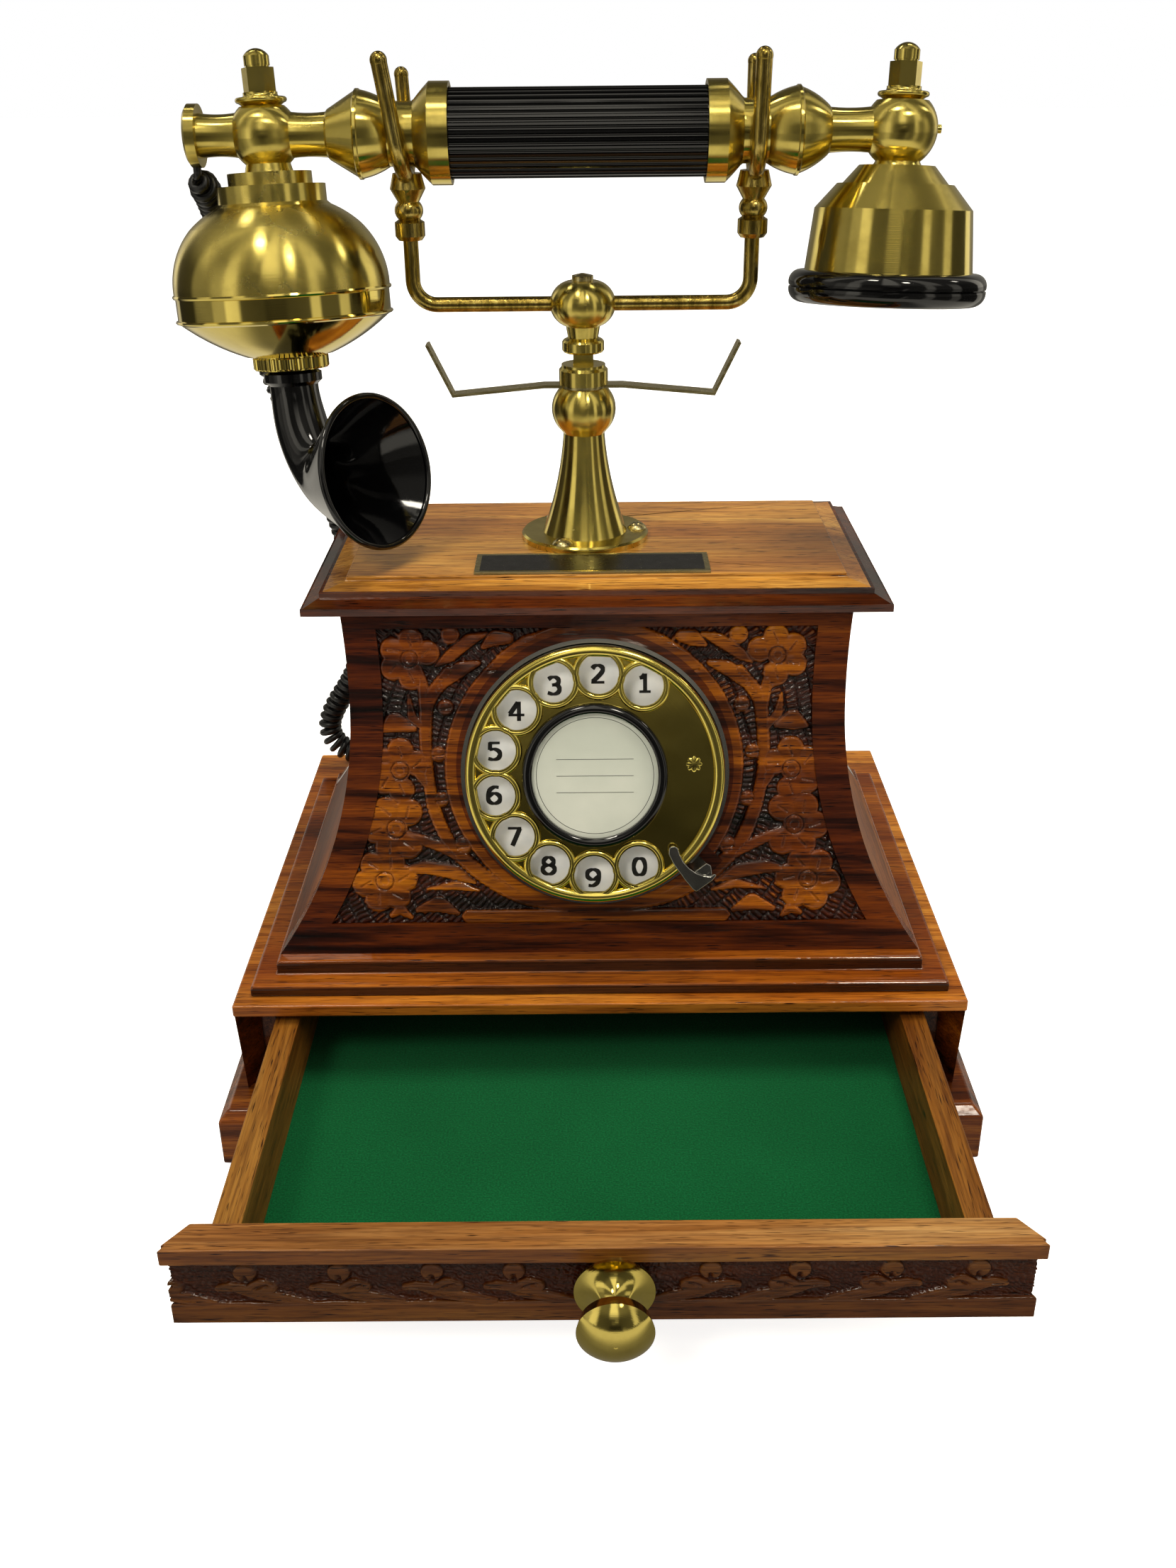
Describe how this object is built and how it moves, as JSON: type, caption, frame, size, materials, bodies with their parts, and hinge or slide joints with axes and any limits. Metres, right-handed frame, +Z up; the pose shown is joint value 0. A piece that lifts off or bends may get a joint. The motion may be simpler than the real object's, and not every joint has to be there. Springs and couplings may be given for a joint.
{
  "type": "rotary telephone",
  "caption": "Wooden rotary telephone with a carved leaning dial panel, drawer base, brass cradle post and a loose brass handset with bell receiver and horn mouthpiece.",
  "frame": {"origin": "centre of the base's underside", "axes": "+X to the right as the user faces the dial, +Y to the back, +Z up"},
  "size_m": [0.2427, 0.3008, 0.3144],
  "materials": {
    "rosewood": "glossy lacquered sheesham",
    "carved_rosewood": "lacquered, carved",
    "raw_wood": "sawn, unfinished",
    "felt": "green felt",
    "brass": "turned and polished",
    "dark_brass": "cast, patinated",
    "black_plastic": "moulded, glossy",
    "grip_black": "fluted, satin",
    "nickel": "nickel plated",
    "white_enamel": "printed numbers",
    "cream_card": "card under a clear disc",
    "steel": "plain",
    "inner_plastic": "moulded",
    "cord_black": "coiled cord"
  },
  "bodies": {
    "root": {"base_felt": "felt", "base_plinth": "rosewood", "base_sides": "rosewood", "base_back": "rosewood", "lid_board": "rosewood", "skirt_board": "rosewood", "front_panel": "carved_rosewood", "body_sides": "rosewood", "body_back": "rosewood", "roof_moulding": "rosewood", "roof_board": "rosewood", "name_plate": "brass", "line_jack": "inner_plastic", "cord_grommet": "cord_black", "dial_case": "steel", "dial_dish": "nickel", "number_plate": "white_enamel", "finger_stop": "nickel", "post_column": "brass", "post_screws": "brass", "side_strip": "brass", "post_nut": "brass", "ringer_frame": "steel", "ringer_gongs": "brass", "terminal_board": "inner_plastic", "hook_switch": "inner_plastic", "cord_curl": "cord_black", "cord_tail_foot": "cord_black"},
    "drawer": {"drawer_front": "carved_rosewood", "drawer_sides": "raw_wood", "drawer_back": "raw_wood", "drawer_floor": "raw_wood", "drawer_felt": "felt", "drawer_knob": "brass"},
    "cradle": {"cradle_stem": "brass", "cradle_hub": "brass", "cradle_screw": "steel", "cradle_arms": "dark_brass", "cradle_forks": "dark_brass"},
    "handset": {"grip_sleeve": "grip_black", "grip_ferrules": "brass", "spindles": "brass", "tee_balls": "brass", "tee_finials": "brass", "cord_flange": "brass", "transmitter_dome": "brass", "transmitter_bowl": "brass", "horn_nut": "brass", "mouth_horn": "black_plastic", "receiver_bell": "brass", "receiver_cap": "black_plastic", "capsules": "inner_plastic", "cord_tail_top": "cord_black"},
    "finger_wheel": {"finger_wheel": "brass", "label_ring": "black_plastic", "label_card": "cream_card", "dial_shaft": "steel", "dial_gear": "brass"},
    "pulse_works": {"pulse_pinion": "brass"},
    "clapper": {"clapper": "brass"}
  },
  "joints": [
    {"name": "drawer_slide", "type": "slide", "parent": "root", "child": "drawer", "axis": [0, -1, 0], "range_m": [-0.097, 0.03]},
    {"name": "handset_lift", "type": "slide", "parent": "root", "child": "handset", "axis": [0, 0, 1], "range_m": [0, 0.06], "deforming": ["cord_curl"]},
    {"name": "cradle_rise", "type": "slide", "parent": "root", "child": "cradle", "axis": [0, 0, 1], "range_m": [0, 0.004], "stiffness_N_per_m": 150, "springref_m": 0.006},
    {"name": "finger_wheel_turn", "type": "hinge", "parent": "root", "child": "finger_wheel", "pos_m": [-0.0009, -0.05311, 0.11592], "axis": [0, -0.9553, 0.2957], "range_deg": [-338, 0], "stiffness_Nm_per_rad": 0.003, "springref_deg": 85.94},
    {"name": "pulse_works_turn", "type": "hinge", "parent": "root", "child": "pulse_works", "pos_m": [-0.0009, -0.04779, 0.13311], "axis": [0, -0.9553, 0.2957], "range_deg": [0, 1014]},
    {"name": "clapper_swing", "type": "hinge", "parent": "root", "child": "clapper", "pos_m": [0, 0, 0.0743], "axis": [0, 0, 1], "range_deg": [-4, 4], "stiffness_Nm_per_rad": 0.0005}
  ],
  "couplings": [
    {"joint": "pulse_works_turn", "follows": "finger_wheel_turn", "ratio": -3},
    {"joint": "cradle_rise", "follows": "handset_lift", "ratio": 0.066666}
  ]
}
